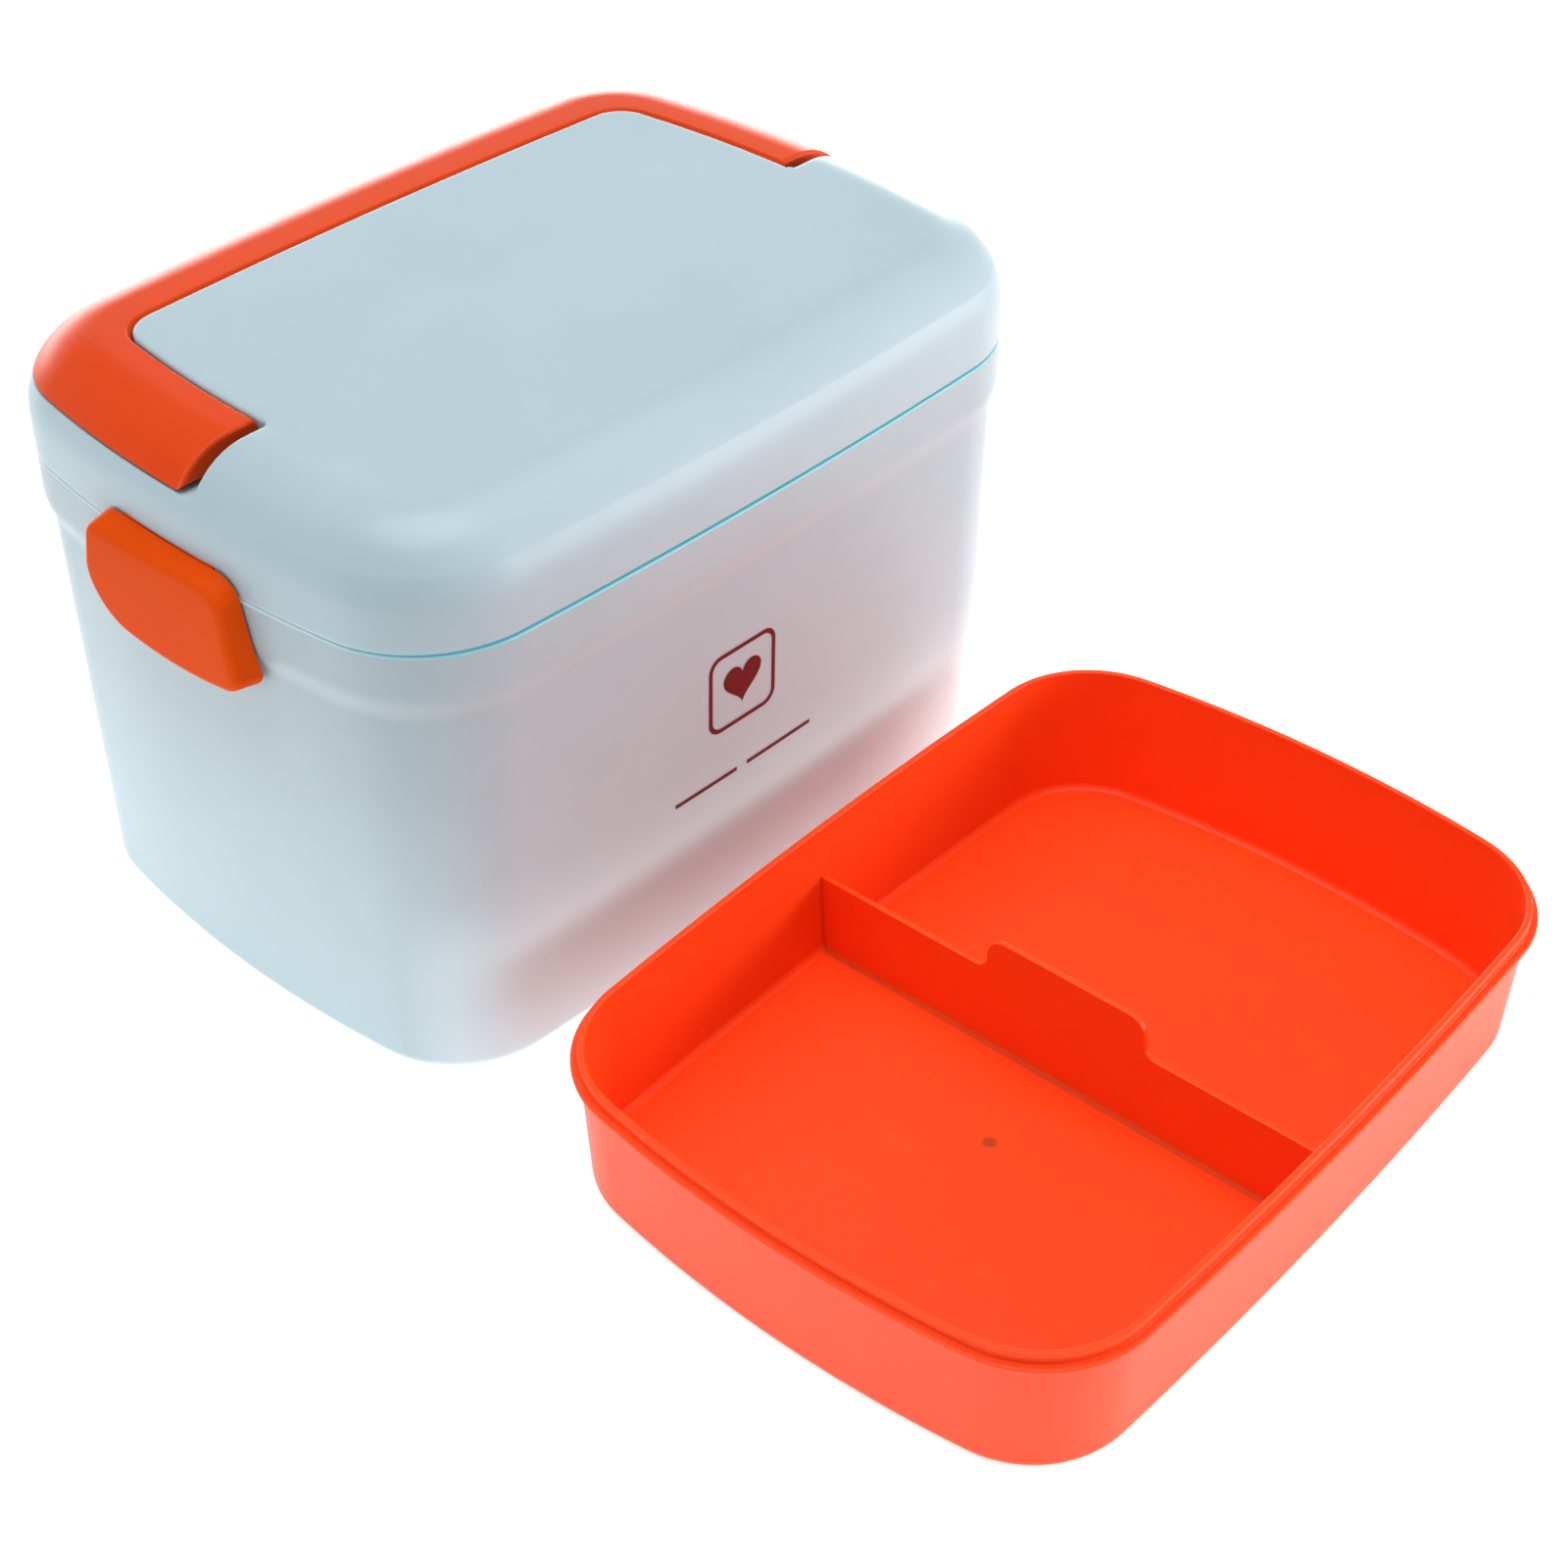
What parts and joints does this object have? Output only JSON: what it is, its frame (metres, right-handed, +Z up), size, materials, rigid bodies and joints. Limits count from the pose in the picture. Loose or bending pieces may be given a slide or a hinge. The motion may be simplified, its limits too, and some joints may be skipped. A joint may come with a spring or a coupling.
{
  "type": "medicine box",
  "caption": "Portable medicine box with a lift-off domed lid, a folding carry handle, snap latches on its ends and a divided insert tray standing in front.",
  "frame": {"origin": "centre of the tub's flat underside, on the ground", "axes": "+Z up, X along the box's long side, -Y towards the long face that the tray stands in front of"},
  "size_m": [0.2632, 0.377, 0.1735],
  "materials": {
    "blue_plastic": "frosted pale blue polypropylene",
    "lid_plastic": "fine satin pale blue polypropylene",
    "orange_plastic": "satin red-orange polypropylene"
  },
  "bodies": {
    "tub": {"tub": "blue_plastic"},
    "lid": {"lid": "lid_plastic"},
    "handle": {"handle": "orange_plastic", "handle_pin_left": "orange_plastic", "handle_pin_right": "orange_plastic"},
    "latch_left": {"latch_left": "orange_plastic"},
    "latch_right": {"latch_right": "orange_plastic"},
    "tray": {"tray": "orange_plastic"}
  },
  "joints": [
    {"name": "lid_lift", "type": "slide", "parent": "tub", "child": "lid", "axis": [0, 0, 1], "range_m": [0, 0.1]},
    {"name": "handle_swing", "type": "hinge", "parent": "lid", "child": "handle", "pos_m": [0, -0.001, 0.168], "axis": [1, 0, 0], "range_deg": [0, 90]},
    {"name": "latch_left_swing", "type": "hinge", "parent": "lid", "child": "latch_left", "pos_m": [-0.124, 0, 0.1474], "axis": [0, 1, 0], "range_deg": [0, 30]},
    {"name": "latch_right_swing", "type": "hinge", "parent": "lid", "child": "latch_right", "pos_m": [0.124, 0, 0.1474], "axis": [0, -1, 0], "range_deg": [0, 30]},
    {"name": "tray_lift", "type": "slide", "parent": "tub", "child": "tray", "axis": [0, 0, 1], "range_m": [0, 0.2]}
  ]
}
